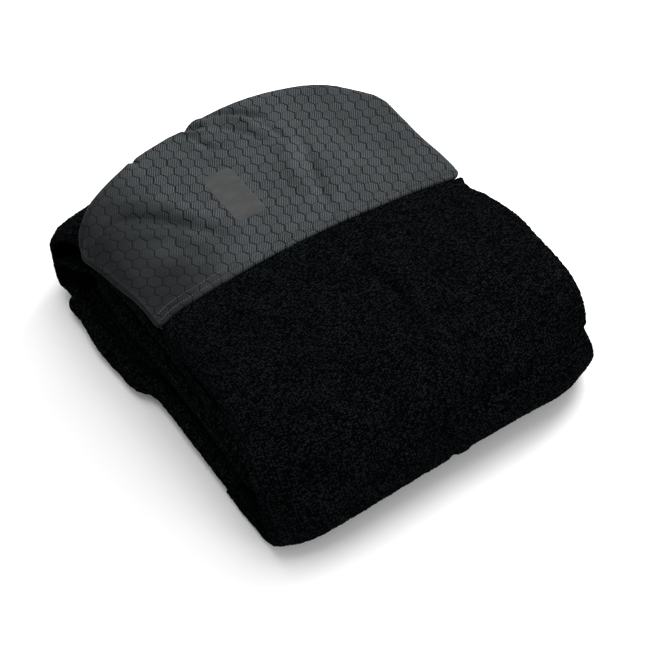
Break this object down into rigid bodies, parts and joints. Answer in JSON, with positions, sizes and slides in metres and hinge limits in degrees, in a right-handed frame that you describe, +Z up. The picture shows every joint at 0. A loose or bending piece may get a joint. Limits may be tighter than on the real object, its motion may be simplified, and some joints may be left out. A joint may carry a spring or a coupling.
{
  "type": "folded hooded changing poncho",
  "caption": "Black terry hooded changing poncho folded into a flat bundle, with a dark grey honeycomb-textured hood panel on top.",
  "frame": {"origin": "middle of the folded bundle's footprint, on the surface it rests on", "axes": "+Z up, +Y towards the crown of the hood at the rear, -Y towards the tall front fold, +X to the right along the folds"},
  "size_m": [0.3679, 0.4219, 0.1042],
  "materials": {
    "terry": "deep pile terry towelling, matte",
    "hood_fabric": "honeycomb-embossed ribbed weave, low sheen",
    "patch": "smooth matte film, blank",
    "thread": "spun polyester thread",
    "seam_tape": "twill tape, matte",
    "label": "satin ribbon, blank"
  },
  "bodies": {
    "lower_stack": {"back_panel_bottom_run": "terry", "front_panel_bottom_run": "terry", "left_side_flap_bottom": "terry", "right_side_flap_bottom": "terry", "left_side_flap_middle": "terry", "right_side_flap_middle": "terry", "front_panel_middle_run": "terry", "back_panel_middle_run": "terry", "bottom_hem": "terry", "back_panel_rear_turn": "terry", "front_panel_rear_turn": "terry", "back_panel_front_turn_lower": "terry", "front_panel_front_turn_lower": "terry"},
    "top_section": {"back_panel_front_turn_upper": "terry", "front_panel_front_turn_upper": "terry", "back_panel_top_run": "terry", "front_panel_top_run": "terry", "left_side_flap_top": "terry", "right_side_flap_top": "terry", "left_sleeve": "terry", "right_sleeve": "terry", "hood_neck_band": "hood_fabric", "neck_seam_tape": "seam_tape", "care_label": "label", "neck_topstitch": "thread"},
    "hood": {"hood_back_panel": "hood_fabric", "hood_lining": "terry", "hood_front_panel": "hood_fabric", "face_opening_hem": "hood_fabric", "blank_patch": "patch"}
  },
  "joints": [
    {"name": "top_section_open", "type": "hinge", "parent": "lower_stack", "child": "top_section", "pos_m": [0, -0.221, 0.051], "axis": [1, 0, 0], "range_deg": [0, 125]},
    {"name": "hood_lift", "type": "hinge", "parent": "top_section", "child": "hood", "pos_m": [0, 0.039, 0.106], "axis": [1, 0, 0], "range_deg": [0, 160]}
  ]
}
